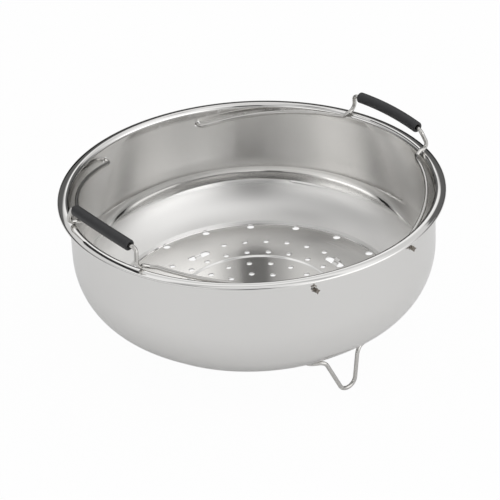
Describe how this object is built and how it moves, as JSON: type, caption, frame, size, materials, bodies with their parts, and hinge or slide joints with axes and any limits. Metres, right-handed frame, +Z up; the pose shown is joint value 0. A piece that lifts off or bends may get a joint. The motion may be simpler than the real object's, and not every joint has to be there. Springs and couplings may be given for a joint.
{
  "type": "steamer basket",
  "caption": "Round steel steamer basket: deep bowl with a punched floor, two fold-over wire handles with black sleeves, and a bent wire foot frame.",
  "frame": {"origin": "on the table, under the middle of the bowl; all three feet stand at z = 0", "axes": "+Z up; the handles fold out along +X and -X; both hinge lines run along Y; one foot is on the -Y side"},
  "size_m": [0.24, 0.24, 0.1239],
  "materials": {
    "polished_steel": "mirror polished stainless sheet",
    "bright_wire": "bright polished stainless wire",
    "black_sleeve": "matt black heat-resistant sleeve"
  },
  "bodies": {
    "bowl": {"basket_bowl": "polished_steel", "foot_frame": "bright_wire"},
    "right_handle": {"right_handle_wire": "bright_wire", "right_grip": "black_sleeve"},
    "left_handle": {"left_handle_wire": "bright_wire", "left_grip": "black_sleeve"}
  },
  "joints": [
    {"name": "right_handle_fold", "type": "hinge", "parent": "bowl", "child": "right_handle", "pos_m": [0.0369, 0, 0.0958], "axis": [0, -1, 0], "range_deg": [0, 95]},
    {"name": "left_handle_fold", "type": "hinge", "parent": "bowl", "child": "left_handle", "pos_m": [-0.0369, 0, 0.0958], "axis": [0, 1, 0], "range_deg": [0, 95]}
  ]
}
